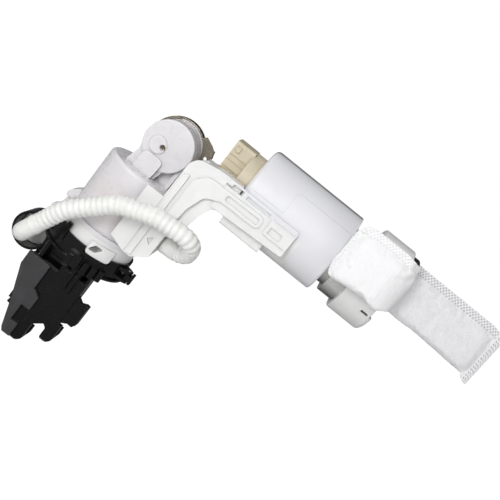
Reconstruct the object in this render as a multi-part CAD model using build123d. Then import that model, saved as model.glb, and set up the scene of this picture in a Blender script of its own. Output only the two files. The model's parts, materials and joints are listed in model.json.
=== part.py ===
"""In-tank fuel pump module: pump, filter canister, pressure regulator, strainer and mounting bracket.

Millimetres, +Z up.  All pieces are drawn with the filter canister on the Z axis and the bottom face of
its base cap at z = 0.  The pump lies along X above and to the right of it, and -Y is the side that
carries the hose and the strainer pad.  The written parts are moved together, so that their origin is
the centre of the lower hook's throat, where the module hangs.
"""
import math
import os

from build123d import *

# ---------------------------------------------------------------- driving dimensions
RUN = 0.05            # radial clearance of parts that run or slide
FIT = 0.10            # gap between parts that only sit against each other

# filter canister, on the Z axis
CAN_R = 19.7
CAN_WALL = 1.8
CAN_TOP = 45.0
CAP_R = 21.3
CAP_HEIGHT = 8.3
FLANGE_R = 21.8
FLANGE_TOP = 10.5

# regulator drum on top of the canister, along Y
DRUM_X, DRUM_Z = 3.0, 62.9
DRUM_R = 13.2
DRUM_FRONT, DRUM_BACK = -9.5, 11.0
DRUM_RIM_R = 13.8
REG_R = 11.3          # regulator capsule

# pump and its holder, along X
PUMP_Z = 72.4
SHELL_R = 19.3
SHELL_WALL = 1.0
SHELL_LEFT, SHELL_RIGHT = 47.6, 118.0
NECK_R = 16.2         # rolled neck between holder and end cover
NECK_LEFT, NECK_RIGHT = 99.4, 103.0
BARREL_R = 21.8
BARREL_WALL = 1.2
BARREL_LEFT, BARREL_RIGHT = 45.3, 99.1
PANEL_RISE = 0.5
SHAFT_R = 1.5
HEAD_R = 14.5
HEAD_LEFT = 38.65
OUTLET_Y, OUTLET_Z = -7.0, 65.5
RELIEF_Y, RELIEF_Z = 8.0, 77.0

# end cover, bumper and strainer
COVER_R = 23.9
COVER_Z = 73.4
COVER_LEFT, COVER_RIGHT = 111.5, 129.5
COVER_FOOT = 131.0
PORT_X, PORT_Z, PORT_R = 119.0, 80.0, 7.0
PAD_BOTTOM, PAD_TOP = 67.2, 97.6
TAIL_BOTTOM, TAIL_TOP = 65.4, 95.0
BAG_END = 187.6
BAG_SEAM = 0.9

# bracket arm
ARM_FRONT = -22.3     # front face of the vertical leg
ARM_SKIN = 2.0
DUCT_X, DUCT_Y = 26.2, -10.0
PORT_ARM_Y, PORT_ARM_Z = -12.0, 24.7

# hose
HOSE_R, HOSE_BORE = 4.7, 3.55
BARB_R = 3.5

# black collar, hook bracket and outlet cup
COLLAR_R = 22.7
COLLAR_BOTTOM, COLLAR_TOP = -9.0, 1.7
CUP_X, CUP_Z, CUP_R = -27.4, -15.3, 10.0
NIPPLE_X, NIPPLE_Z = -28.0, -14.5
SPIGOT_R = 4.2
HOOK_R = 3.2          # throat radius of both hooks
HOOK_Y = -5.6
HOOK_SOLE = 4.4       # thickness of a hook below its throat
LOWER_HOOK = (-8.4, 2.2, -66.8)      # left, right and bottom
UPPER_HOOK = (8.9, 15.1, -57.4)
PIN_X, PIN_Y, PIN_R = 25.1, -6.0, 1.0


# ---------------------------------------------------------------- helpers
def along_x(r, x0, x1, y=0.0, z=PUMP_Z):
    return Pos((x0 + x1) / 2, y, z) * Rot(0, 90, 0) * Cylinder(r, x1 - x0)


def along_y(r, y0, y1, x=0.0, z=0.0):
    return Pos(x, (y0 + y1) / 2, z) * Rot(90, 0, 0) * Cylinder(r, y1 - y0)


def along_z(r, z0, z1, x=0.0, y=0.0):
    return Pos(x, y, (z0 + z1) / 2) * Cylinder(r, z1 - z0)


def block(x0, x1, y0, y1, z0, z1):
    return Pos((x0 + x1) / 2, (y0 + y1) / 2, (z0 + z1) / 2) * Box(x1 - x0, y1 - y0, z1 - z0)


def outline(points, radius=0.0):
    """Closed outline through the points, its corners rounded to one radius or to a list of radii."""
    if radius == 0.0:
        return make_face(Polyline(*points, close=True))
    return make_face(FilletPolyline(*points, radius=radius, close=True))


def slab_y(points, y0, y1, radius=0.0):
    """Plate with an outline in X and Z that fills y0..y1."""
    face = Plane(origin=(0, y1, 0), x_dir=(1, 0, 0), z_dir=(0, -1, 0)) * outline(points, radius)
    return extrude(face, amount=y1 - y0)


def slab_x(points, x0, x1, radius=0.0):
    """Plate with an outline in Y and Z that fills x0..x1."""
    face = Plane(origin=(x0, 0, 0), x_dir=(0, 1, 0), z_dir=(1, 0, 0)) * outline(points, radius)
    return extrude(face, amount=x1 - x0)


def slab_z(points, z0, z1, radius=0.0):
    """Plate with an outline in X and Y that fills z0..z1."""
    return extrude(Pos(0, 0, z0) * outline(points, radius), amount=z1 - z0)


def coil(radius, wire, length, turns):
    """Compression spring that stands on the origin along Z."""
    path = Helix(pitch=(length - wire) / turns, height=length - wire, radius=radius)
    start = Plane(origin=path @ 0, z_dir=path % 0)
    return Pos(0, 0, wire / 2) * sweep(start * Circle(wire / 2), path=path, is_frenet=True)


def lean_x(shape, x, y, z, forward=True):
    """Lays a shape that stands along Z down along +X or -X."""
    return Pos(x, y, z) * Rot(0, 90 if forward else -90, 0) * shape


def ring_z(outer, inner, z0, z1):
    return along_z(outer, z0, z1) - along_z(inner, z0 - 1, z1 + 1)


def tube_x(outer, inner, x0, x1, y=0.0, z=PUMP_Z):
    return along_x(outer, x0, x1, y, z) - along_x(inner, x0 - 1, x1 + 1, y, z)


def tube_y(outer, inner, y0, y1, x=DRUM_X, z=DRUM_Z):
    return along_y(outer, y0, y1, x, z) - along_y(inner, y0 - 1, y1 + 1, x, z)


# ---------------------------------------------------------------- filter canister
TONGUE_X0, TONGUE_X1, TONGUE_Z = 2.9, 15.3, -1.1
WINDOW = [(3.2, 1.0), (7.2, 1.2), (10.2, 4.6), (6.0, 4.9)]


def filter_base_cap():
    cap = along_z(CAP_R, 0, CAP_HEIGHT) - along_z(CAN_R - FIT, 2.0, CAP_HEIGHT + 1)
    cap = chamfer(cap.edges().filter_by(GeomType.CIRCLE).group_by(Axis.Z)[0], 0.6)
    rim = ring_z(CAP_R + 1.0, CAP_R - 0.5, TONGUE_Z, CAP_HEIGHT - 2.2)
    tongue = slab_y(
        [(TONGUE_X0, TONGUE_Z), (TONGUE_X1, TONGUE_Z), (TONGUE_X1, CAP_HEIGHT), (TONGUE_X0, CAP_HEIGHT)],
        -30, -5, radius=[1.6, 1.6, 0, 0])
    cap += rim & tongue
    cap -= slab_y(WINDOW, -30, -CAP_R + 2.8, radius=0.6)
    # snap lug on the left side, below the side boss of the canister
    lug = slab_y([(-20.0, 2.0), (-24.3, 2.0), (-24.3, -1.6), (-29.0, -1.6), (-29.0, 0.2), (-26.8, 1.6),
                  (-25.4, 4.6), (-24.8, 7.8), (-20.0, 7.8)], 2.5, 8.5, radius=0.3)
    cap += lug - along_z(CAP_R - 1, -1, 9)
    return cap


def ground_tab():
    """Bent metal contact that sits in the window of the base cap."""
    shape = slab_y([(4.0, 1.3), (6.9, 1.5), (9.4, 4.3), (6.3, 4.5)], -30, -5, radius=0.3)
    return shape & ring_z(CAP_R - 0.1, CAP_R - 0.8, 0, 8)


def filter_seal():
    return ring_z(CAN_R - 0.3, CAN_R - CAN_WALL + 0.1, 2.0 + FIT, 3.9)


def saddle():
    """Webs and front boss that carry the regulator drum on the canister top."""
    web = [(-10.8, CAN_TOP - 1), (14.9, CAN_TOP - 1), (DRUM_X + DRUM_R - 0.6, DRUM_Z - 2),
           (DRUM_X - DRUM_R + 0.9, DRUM_Z - 3), (-8.2, 53.0)]
    base = slab_y(web, -7.5, DRUM_BACK - 4.0)
    base -= block(5.0, 13.2, -9, -3.5, CAN_TOP, 56)
    base -= block(5.0, 13.2, 3.0, 9, CAN_TOP, 56)
    base += slab_y([(3.4, CAN_TOP - 0.5), (6.2, CAN_TOP - 0.5), (9.2, 54.0), (6.0, 56)], -8.6, -3)
    boss = [(-5.4, CAN_TOP - 0.5), (5.3, CAN_TOP - 0.5), (6.3, 55.6), (-4.9, 55.6)]
    base += slab_y(boss, -11.2, 0, radius=[1.6, 1.6, 2.6, 2.6])
    return base


def filter_housing():
    can = along_z(CAN_R, CAP_HEIGHT + FIT, CAN_TOP)
    can = fillet(can.edges().group_by(Axis.Z)[-1], 1.9)
    can += along_z(FLANGE_R, CAP_HEIGHT + FIT, FLANGE_TOP)
    can += along_z(CAN_R - 0.2, 4.0, CAP_HEIGHT + 1)
    drum = along_y(DRUM_R, DRUM_FRONT, DRUM_BACK, DRUM_X, DRUM_Z)
    drum = fillet(drum.edges().filter_by(GeomType.CIRCLE).group_by(Axis.Y)[0], 0.8)
    drum += along_y(DRUM_RIM_R, DRUM_BACK - 3.4, DRUM_BACK, DRUM_X, DRUM_Z)
    nozzle = along_y(4.6, DRUM_FRONT - 0.9, 0, DRUM_X - 4.4, DRUM_Z - 2.2)
    nozzle = fillet(nozzle.edges().filter_by(GeomType.CIRCLE).group_by(Axis.Y)[0], 0.7)
    body = can + saddle() + drum + nozzle
    side_boss = [(-18.5, 17.0), (-22.5, 14.6), (-25.0, 12.4), (-26.0, 10.6), (-25.6, 8.4), (-18.5, 8.4)]
    body += slab_y(side_boss, 1.5, 9.5, radius=0.5)
    # hollow canister, drum bore, its drain port and the duct between them
    body -= along_z(CAN_R - CAN_WALL, 3.0, CAN_TOP - 2.0)
    body -= along_y(REG_R + 0.15, DRUM_FRONT + 3.2, DRUM_BACK + 1, DRUM_X, DRUM_Z)
    body -= along_y(1.5, DRUM_FRONT - 2, 0, DRUM_X - 1.6, DRUM_Z - 2.0)
    body -= along_z(2.2, CAN_TOP - 4, DRUM_Z, x=0.4, y=0)
    return body


def filter_element():
    """Pleated paper cylinder."""
    pleats, inner, outer = 28, 10.2, 16.6
    points = []
    for k in range(pleats):
        for share, radius in ((0.0, outer), (0.25, outer), (0.5, inner), (0.75, inner)):
            turn = 2 * math.pi * (k + share) / pleats
            points.append((radius * math.cos(turn), radius * math.sin(turn)))
    return slab_z(points, 8.2, 39.8) - along_z(inner - 0.8, 7, 41)


def filter_end_plates():
    lower = ring_z(17.2, 6.0, 6.6, 8.1)
    upper = ring_z(17.2, 6.0, 39.9, 41.4)
    return lower, upper


def filter_core_tube():
    """Perforated centre tube between the end plates."""
    core = ring_z(8.6, 7.8, 8.2, 39.8)
    for level in range(6):
        for turn in range(0, 180, 45):
            hole = Pos(0, 0, 11.0 + 5.2 * level) * Rot(0, 90, turn) * Cylinder(1.3, 24)
            core -= hole
    return core


# ---------------------------------------------------------------- pressure regulator
def regulator_body():
    body = along_y(REG_R, -3.4, 2.0, DRUM_X, DRUM_Z) + along_y(9.4, -6.1, -3.4, DRUM_X, DRUM_Z)
    body -= along_y(REG_R - 0.8, -2.6, 3, DRUM_X, DRUM_Z)
    body -= along_y(8.6, -5.3, 0, DRUM_X, DRUM_Z)
    return body - along_y(3.3, -7, 0, DRUM_X, DRUM_Z)


def regulator_seat():
    return tube_y(3.2, 1.5, -6.1, -1.75)


def regulator_oring():
    return tube_y(REG_R, 9.5, -6.0, -3.6)


def regulator_diaphragm():
    return tube_y(REG_R, 2.0, 2.1, 3.0)


def regulator_valve():
    """Plunger that the diaphragm carries: seat disc, stem and spring plate."""
    valve = along_y(2.8, -1.7, -1.0, DRUM_X, DRUM_Z)
    valve += along_y(2.0 - RUN, -1.0, 3.2, DRUM_X, DRUM_Z)
    return valve + along_y(6.4, 3.1, 4.1, DRUM_X, DRUM_Z)


def regulator_spring():
    return Pos(DRUM_X, 4.2, DRUM_Z) * Rot(-90, 0, 0) * coil(5.2, 1.1, 9.6, 5)


def regulator_cover():
    cover = along_y(REG_R, 3.1, 15.0, DRUM_X, DRUM_Z)
    cover = fillet(cover.edges().filter_by(GeomType.CIRCLE).group_by(Axis.Y)[-1], 1.6)
    cover += along_y(DRUM_RIM_R - 0.3, DRUM_BACK + FIT, DRUM_BACK + 1.0, DRUM_X, DRUM_Z)
    cover -= along_y(REG_R - 0.8, 2.0, 14.1, DRUM_X, DRUM_Z)
    return cover - along_y(2.5, 12, 16, DRUM_X, DRUM_Z)


def regulator_clip():
    """Spring-steel retainer that hugs the drum rim, with an ear to the right."""
    inner, outer = DRUM_RIM_R + 0.15, DRUM_RIM_R + 0.85
    band = tube_y(outer, inner, DRUM_BACK - 3.6, DRUM_BACK + 1.9)
    band -= block(-12, 9, 0, 20, 40, DRUM_Z)
    band -= block(9, 20, 0, 20, 40, DRUM_Z - 9)
    hold = tube_y(outer, REG_R + 0.4, DRUM_BACK + 1.1, DRUM_BACK + 1.9)
    hold -= block(-20, 26, 0, 20, 40, DRUM_Z + 3.5)
    hold -= block(DRUM_X - 4, DRUM_X + 5, 0, 20, 60, 80)
    ear = slab_y([(14.0, 63.6), (20.6, 65.0), (21.6, 68.4), (20.6, 72.4), (18.4, 74.0), (13.4, 76.2),
                  (10.0, 72.0)], DRUM_BACK - 3.6, DRUM_BACK - 2.9)
    ear += slab_y([(20.5, 65.1), (21.5, 68.4), (20.5, 72.3), (19.8, 72.1), (20.8, 68.4), (19.8, 65.3)],
                  DRUM_BACK - 3.4, DRUM_BACK + 0.8)
    ear -= along_y(inner + 0.1, 0, 20, DRUM_X, DRUM_Z)
    ear -= along_y(0.9, 0, 20, 18.9, 66.8)
    tab = tube_y(outer - 0.1, DRUM_R + 0.2, DRUM_BACK - 4.5, DRUM_BACK - 3.45)
    tab &= block(-7.6, -2.8, 0, 20, 70, 80)
    return band + hold + ear + tab


# ---------------------------------------------------------------- bracket arm
def arm_outline():
    """Front outline of the arm: leg at the left, run to the right, rounded outer corner."""
    points = [(17.0, 11.5), (22.0, 11.5), (29.4, 17.0), (29.4, 30.4), (33.4, 31.6), (36.2, 48.0),
              (39.6, 56.0), (47.0, 56.0), (47.0, 73.0), (31.0, 72.2), (17.6, 69.6)]
    radii = [0.6, 0.8, 1.2, 0.8, 0.8, 4.0, 4.0, 0.6, 0.6, 8.0, 7.0]
    return points, radii


def arm_leg():
    points, radii = arm_outline()
    front = slab_y(points, ARM_FRONT, ARM_FRONT + ARM_SKIN, radius=radii)
    # duct body behind the front sheet and the shelf that closes the top
    duct = slab_y([(22.6, 17.0), (29.4, 17.0), (29.4, 30.4), (32.6, 32.0), (35.4, 48.0), (37.6, 55.0),
                   (37.6, 58.6), (22.6, 58.6)], ARM_FRONT + 1, -5.0, radius=0.8)
    roof = [(18.3, 63.0), (19.4, 67.4), (24.5, 70.2), (31.2, 71.6), (44.6, 72.6), (44.6, 70.6), (31.0, 69.8),
            (25.5, 68.4), (21.6, 66.0), (20.6, 63.0)]
    shelf = slab_y(roof, ARM_FRONT + 1, -3.2, radius=0.4)
    socket = along_x(5.4, 29.5, 37.6, OUTLET_Y, OUTLET_Z)
    socket += block(22.6, 31.0, -12.5, -3.2, 58.0, 70.4)
    arm = front + duct + shelf + socket
    # wing on the front of the canister, with the rib that seats on it
    wing = slab_y([(8.2, 14.5), (17.6, 11.5), (17.6, 45.3), (8.2, 45.3)], ARM_FRONT - 0.2, ARM_FRONT + 1.6,
                  radius=0.4)
    rib = block(10.0, 12.0, ARM_FRONT + 1, -12, 18, 42) + block(14.5, 16.5, ARM_FRONT + 1, -9, 18, 42)
    arm += wing + (rib - along_z(CAN_R + FIT, 0, 60))
    return arm


def arm_saddle():
    """Part of the arm that hugs the lower front of the pump holder."""
    upper = slab_y([(38.0, 56.0), (78.8, 58.0), (78.8, 72.6), (38.0, 72.6)], -23.4, -12.0,
                   radius=[0.4, 1.2, 1.2, 0.4])
    lower = block(45.4, 68.6, -19.4, -6.0, 51.6, 58.6)
    lower = fillet(lower.edges().filter_by(Axis.X).group_by(Axis.Z)[0], 1.2)
    return upper + lower


def arm_relief():
    """Raised fuel channel and frames on the front, and the recesses between them."""
    path = [(24.2, 31.0), (28.6, 31.0), (30.0, 48.0), (33.4, 57.6), (40.5, 60.9), (62.0, 61.3), (62.0, 67.9),
            (29.6, 66.8), (24.2, 61.6)]
    channel = slab_y(path, -24.4, -21.4, radius=[0.4, 0.4, 4.0, 4.0, 4.0, 2.6, 2.6, 5.0, 5.0])
    channel -= slab_y([(41.5, 62.8), (60.4, 62.8), (60.4, 66.0), (41.5, 65.6)], -30, -23.5, radius=0.9)
    rib = slab_y([(18.6, 12.4), (21.6, 12.4), (21.6, 62.0), (18.6, 60.0)], -23.2, -21.4, radius=0.6)
    frame = slab_y([(64.8, 61.6), (78.6, 61.6), (78.6, 70.0), (64.8, 70.0)], -24.2, -22.0, radius=0.8)
    frame -= slab_y([(66.6, 63.0), (73.4, 63.0), (73.4, 66.6), (66.6, 66.6)], -30, -20, radius=0.4)
    return channel + frame + rib


def bracket_arm():
    arm = arm_leg() + arm_saddle() + arm_relief()
    # band of recesses below the top edge
    arm -= slab_y([(37.3, 68.9), (46.6, 69.1), (46.6, 71.5), (40.6, 71.4), (40.6, 70.0), (37.3, 69.8)], -30,
                  -21.4)
    arm -= slab_y([(49.0, 69.2), (63.0, 69.2), (63.0, 71.0), (49.0, 71.0)], -30, -22.7)
    # triangular window beside the hose port
    arm -= slab_y([(23.2, 24.2), (26.0, 26.6), (26.0, 21.8)], -30, ARM_FRONT + 1.1, radius=0.3)
    # hose barb
    arm += along_x(BARB_R, 28.0, 33.6, PORT_ARM_Y, PORT_ARM_Z)
    # fuel passage: socket for the pump outlet, drop and hose port
    arm -= along_x(3.2, 31.0, 38.5, OUTLET_Y, OUTLET_Z)
    arm -= along_x(2.2, DUCT_X, 38.5, OUTLET_Y, OUTLET_Z)
    arm -= along_z(2.4, PORT_ARM_Z, OUTLET_Z, DUCT_X, DUCT_Y)
    arm -= along_x(2.2, DUCT_X, 38.0, PORT_ARM_Y, PORT_ARM_Z)
    # room for the holder, the pump's end head and its connector
    arm -= along_x(BARREL_R + PANEL_RISE + FIT, BARREL_LEFT - 0.3, 110)
    arm -= along_x(HEAD_R + 0.5, 37.9, 50)
    arm -= block(27.6, 38.6, -8.2, 0, 70.6, 80)
    return arm


# ---------------------------------------------------------------- pump holder and end cover
def pump_holder():
    barrel = along_x(BARREL_R, BARREL_LEFT, BARREL_RIGHT)
    barrel = fillet(barrel.edges().filter_by(GeomType.CIRCLE).group_by(Axis.X)[0], 2.8)
    thick = along_x(BARREL_R + PANEL_RISE, 48.2, BARREL_RIGHT - 0.6)
    panel = thick & slab_y([(48.2, 48), (98.5, 48), (98.5, 86.6), (66.8, 86.6), (66.8, 74.8), (48.2, 74.8)],
                           -30, -6, radius=[0, 0, 1.0, 2.0, 0.5, 0.5])
    barrel += panel
    barrel -= along_x(BARREL_R - BARREL_WALL, BARREL_LEFT + 1.5, BARREL_RIGHT + 1)
    barrel -= along_x(HEAD_R + 0.2, BARREL_LEFT - 1, 60)
    # two drain slots in the back
    for x in (62.0, 84.0):
        barrel -= block(x - 5, x + 5, 15, 30, PUMP_Z - 2, PUMP_Z + 2)
    return barrel


def pump_isolator():
    sleeve = tube_x(BARREL_R - BARREL_WALL - FIT, SHELL_R + 0.05, 50.0, BARREL_RIGHT - 1.6)
    for k in range(8):
        groove = tube_x(30, BARREL_R - BARREL_WALL - 0.6, 53.5 + 5.6 * k, 56.0 + 5.6 * k)
        sleeve -= groove
    return sleeve


def holder_end_cover():
    cover = along_x(COVER_R, COVER_LEFT, COVER_RIGHT, 0, COVER_Z)
    cover = fillet(cover.edges().filter_by(GeomType.CIRCLE), 1.0)
    foot = along_x(COVER_R, 120, COVER_FOOT, 0, COVER_Z)
    foot = fillet(foot.edges().filter_by(GeomType.CIRCLE).group_by(Axis.X)[-1], 2.6)
    cover += foot & block(120, 140, -30, 30, 40, 61.2)
    cover -= block(124.0, 128.0, -30, -2, 61.4, 62.6)
    cover += along_y(8.4, -26.0, 0, PORT_X, PORT_Z)
    cover -= along_x(SHELL_R + FIT, COVER_LEFT - 1, SHELL_RIGHT + 0.2)
    cover -= along_x(13.0, COVER_LEFT, 127.0, 0, COVER_Z)
    cover -= along_y(PORT_R + 0.06, -40, -8, PORT_X, PORT_Z)
    return cover


def end_bumper():
    """Rubber buffer on the back half of the end cover, behind the bag."""
    disc = along_x(22.0, COVER_RIGHT + FIT, 134.0, 0, COVER_Z)
    disc = fillet(disc.edges().filter_by(GeomType.CIRCLE).group_by(Axis.X)[-1], 1.2)
    disc -= along_x(11.0, 120, 140, 0, COVER_Z)
    return disc & block(120, 140, -7.4, 30, 70.0, 110)


# ---------------------------------------------------------------- pump
def pump_shell():
    shell = along_x(SHELL_R, SHELL_LEFT, SHELL_RIGHT)
    shell = fillet(shell.edges().filter_by(GeomType.CIRCLE), 0.9)
    shell -= tube_x(30, NECK_R, NECK_LEFT, NECK_RIGHT)
    bore = along_x(SHELL_R - SHELL_WALL, SHELL_LEFT + 1.0, NECK_LEFT - SHELL_WALL)
    bore += along_x(NECK_R - SHELL_WALL, SHELL_LEFT - 1, SHELL_RIGHT + 1)
    bore += along_x(SHELL_R - SHELL_WALL, NECK_RIGHT + SHELL_WALL, SHELL_RIGHT - 1.0)
    return shell - bore


def connector_block():
    """Electrical socket on the end head, open towards -X."""
    shell = block(28.1, HEAD_LEFT + 0.5, -7.0, 7.0, 72.9, 86.8)
    shell = fillet(shell.edges().filter_by(Axis.X).group_by(Axis.Z)[-1], 1.2)
    shell -= block(27, 37.2, -5.7, 5.7, 74.2, 85.4)
    shell -= block(27, HEAD_LEFT, -8.0, -6.4, 76.2, 79.4)
    shell -= block(27, HEAD_LEFT, 6.4, 8.0, 76.2, 79.4)
    shell += block(28.1, HEAD_LEFT, -6.4, 6.4, 70.9, 73.0)
    shell += block(29.6, 32.0, -7.5, -6.8, 81.6, 84.4)
    return shell


def pump_end_head():
    head = along_x(HEAD_R, HEAD_LEFT, 49)
    head = fillet(head.edges().filter_by(GeomType.CIRCLE).group_by(Axis.X)[0], 0.8)
    head += along_x(SHELL_R - SHELL_WALL - RUN, SHELL_LEFT + 1.1, 56.0)
    head += connector_block()
    head += along_x(2.9, 31.6, 40, OUTLET_Y, OUTLET_Z)
    # brush guides
    for side in (1, -1):
        z0, z1 = PUMP_Z + side * 7.0, PUMP_Z + side * 17.4
        guide = block(55, 64.4, -3.4, 3.4, min(z0, z1), max(z0, z1))
        head += guide
        z0, z1 = PUMP_Z + side * 5.0, PUMP_Z + side * 16.8
        head -= block(57.6, 63.4, -2.5 - RUN, 2.5 + RUN, min(z0, z1), max(z0, z1))
    # bearing seat, outlet with its check valve chamber, relief chamber and terminal slots
    head -= along_x(4.0, 51.0, 60)
    head -= along_x(SHAFT_R + 0.5, 48.5, 60)
    head -= along_x(1.9, 30, 42, OUTLET_Y, OUTLET_Z)
    head -= along_x(3.5, 40.6, 47.0, OUTLET_Y, OUTLET_Z)
    head -= along_x(2.2, 46, 60, OUTLET_Y, OUTLET_Z)
    head -= along_x(1.2, 35, 42, RELIEF_Y, RELIEF_Z)
    head -= along_x(3.0, 40.6, 47.0, RELIEF_Y, RELIEF_Z)
    head -= along_x(1.6, 46, 60, RELIEF_Y, RELIEF_Z)
    for y in (-3.0, 3.0):
        head -= block(36, 60, y - 0.45, y + 0.45, 78.4, 81.6)
    return head


def terminal_blades():
    return [block(30.0, 55.5, y - 0.4, y + 0.4, 78.5, 81.5) for y in (-3.0, 3.0)]


def outlet_oring():
    return tube_x(3.15, 2.95, 33.0, 34.6, OUTLET_Y, OUTLET_Z)


def check_valve_poppet():
    poppet = along_x(3.1, 45.2, 46.9, OUTLET_Y, OUTLET_Z)
    poppet += along_x(1.2, 42.9, 45.2, OUTLET_Y, OUTLET_Z)
    return poppet


def check_valve_spring():
    return lean_x(coil(2.2, 0.6, 4.4, 4), 40.7, OUTLET_Y, OUTLET_Z)


def relief_valve_ball():
    return Pos(44.9, RELIEF_Y, RELIEF_Z) * Sphere(2.0)


def relief_valve_spring():
    return lean_x(coil(1.8, 0.5, 2.6, 3), 40.7, RELIEF_Y, RELIEF_Z)


def shaft():
    return along_x(SHAFT_R, 49.2, 110.6)


def armature():
    """Laminated core with slots and its copper windings' outer form."""
    core = along_x(11.4, 67.0, 92.0)
    for k in range(8):
        turn = Pos(0, 0, PUMP_Z) * Rot(45 * k, 0, 0)
        core -= turn * Pos(79.5, 0, 10.0) * Box(30, 2.0, 4.4)
    return core - along_x(SHAFT_R + 0.02, 60, 100)


def armature_windings():
    """End turns of the copper windings on both faces of the core."""
    turns = []
    for x0, x1 in ((65.6, 66.9), (92.1, 95.0)):
        turns.append(tube_x(9.6, 3.2, x0, x1))
    return turns


def commutator():
    ring = tube_x(6.0, SHAFT_R + 0.02, 57.0, 65.4)
    for k in range(8):
        ring -= Pos(0, 0, PUMP_Z) * Rot(45 * k, 0, 0) * Pos(61, 0, 6.0) * Box(7, 0.5, 1.2)
    return ring


def motor_magnets():
    ring = tube_x(SHELL_R - SHELL_WALL - RUN, 12.1, 65.0, 97.0)
    ring -= block(60, 100, -30, 30, PUMP_Z - 4, PUMP_Z + 4)
    return ring.solids()


def motor_brushes(side):
    z0, z1 = PUMP_Z + side * (6.0 + RUN), PUMP_Z + side * 11.8
    return block(57.7, 63.3, -2.5, 2.5, min(z0, z1), max(z0, z1))


def brush_springs():
    springs = []
    for side in (1, -1):
        spring = coil(1.9, 0.5, 4.7, 4)
        springs.append(Pos(60.5, 0, PUMP_Z + side * 11.95) * Rot(0 if side > 0 else 180, 0, 0) * spring)
    return springs


def shaft_bushings():
    left = tube_x(4.0 - 0.02, SHAFT_R + RUN, 51.1, 55.6)
    right = tube_x(4.0 - 0.02, SHAFT_R + RUN, 99.0, 103.4)
    return left, right


def pump_casing():
    """Bearing plate and the impeller's chamber."""
    casing = along_x(NECK_R - SHELL_WALL - FIT, 97.6, 106)
    casing += along_x(SHELL_R - SHELL_WALL - FIT, 104.2, 109.0)
    casing -= along_x(14.2, 105.8, 110)
    casing -= along_x(4.0, 96, 103.5)
    casing -= along_x(SHAFT_R + 0.4, 96, 110)
    casing -= along_x(2.0, 96, 110, 0, PUMP_Z - 11.5)
    return casing


def impeller():
    wheel = along_x(14.0, 106.1, 108.8)
    vanes = 24
    for k in range(vanes):
        turn = Pos(0, 0, PUMP_Z) * Rot(360 * k / vanes, 0, 0)
        wheel -= turn * Pos(107.45, 0, 12.4) * Box(4, 1.6, 1.8)
    return wheel - along_x(SHAFT_R + 0.02, 100, 112)


def inlet_cover():
    cover = along_x(SHELL_R - SHELL_WALL - FIT, 109.1, 116.9)
    cover += along_x(5.4, 116, 122.5, 0, PUMP_Z - 4)
    cover -= along_x(3.8, 108, 124, 0, PUMP_Z - 4)
    return cover - along_x(SHAFT_R + 0.4, 108, 112)


# ---------------------------------------------------------------- strainer
def strainer_bag():
    """Sewn bag: hollow pad over the inlet port, step round the end cover and flat tail."""
    sole = [(97.8, -27.0), (97.8, -30.6), (101.5, -33.4), (124.6, -33.6), (129.2, -31.4), (133.0, -25.4),
            (134.6, -14.0), (134.6, -8.0), (132.4, -8.0), (131.0, -12.0), (130.4, -24.4), (128.6, -27.0)]
    pad = slab_z(sole, PAD_BOTTOM, PAD_TOP)
    tail = block(133.4, BAG_END, -14.0, -8.0, TAIL_BOTTOM, TAIL_TOP)
    pocket = slab_z([(99.0, -28.0), (99.0, -30.0), (101.9, -32.3), (124.3, -32.5), (127.6, -30.9),
                     (127.6, -28.0)], PAD_BOTTOM + BAG_SEAM, PAD_TOP - BAG_SEAM)
    return pad + tail - pocket - along_y(PORT_R + 0.2, -30.0, -20, PORT_X, PORT_Z)


def strainer_neck():
    neck = along_y(PORT_R, -29.6, -20.6, PORT_X, PORT_Z)
    neck += along_y(8.4, -26.9, -26.2, PORT_X, PORT_Z) + along_y(8.4, -29.6, -28.2, PORT_X, PORT_Z)
    return neck - along_y(5.4, -40, -10, PORT_X, PORT_Z)


def strainer_frame():
    """Ladder that holds the pad of the bag open."""
    y0, y1 = -31.2, -29.8
    left, right, bar = 101.0, 126.4, 1.4
    low, high = 70.0, 93.0
    frame = block(left, right, y0, y1, low, low + bar) + block(left, right, y0, y1, high - bar, high)
    for rung in range(5):
        x = left + rung * (right - left - bar) / 4
        frame += block(x, x + bar, y0, y1, low, high)
    return frame


# ---------------------------------------------------------------- hose
def hose_path():
    """Centre line from the nipple in the cup, across the canister, round to the arm's barb."""
    points = [(NIPPLE_X, -3.0, NIPPLE_Z), (NIPPLE_X, -23.0, NIPPLE_Z), (-15.0, -30.0, 12.0),
              (4.0, -32.0, 31.0), (22.0, -32.5, 38.0), (43.2, -29.0, 38.6),
              (43.2, PORT_ARM_Y, PORT_ARM_Z), (30.2, PORT_ARM_Y, PORT_ARM_Z)]
    return FilletPolyline(*points, radius=[7.5, 24, 24, 20, 9.2, 9.2])


def fuel_hose():
    path = hose_path()
    start = Plane(origin=path @ 0, z_dir=path % 0)
    return sweep(start * Circle(HOSE_R), path=path) - sweep(start * Circle(HOSE_BORE), path=path)


def hose_nipple():
    """White insert in the cup that the hose is pushed onto."""
    nipple = along_y(BARB_R, -9.0, 3.9, NIPPLE_X, NIPPLE_Z) + along_y(CUP_R - 1.5, 1.6, 3.9, CUP_X, CUP_Z)
    nipple -= along_y(2.1, -20, 10, NIPPLE_X, NIPPLE_Z)
    return nipple - along_z(COLLAR_R + 1.4, COLLAR_BOTTOM - 0.2, 5)


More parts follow.
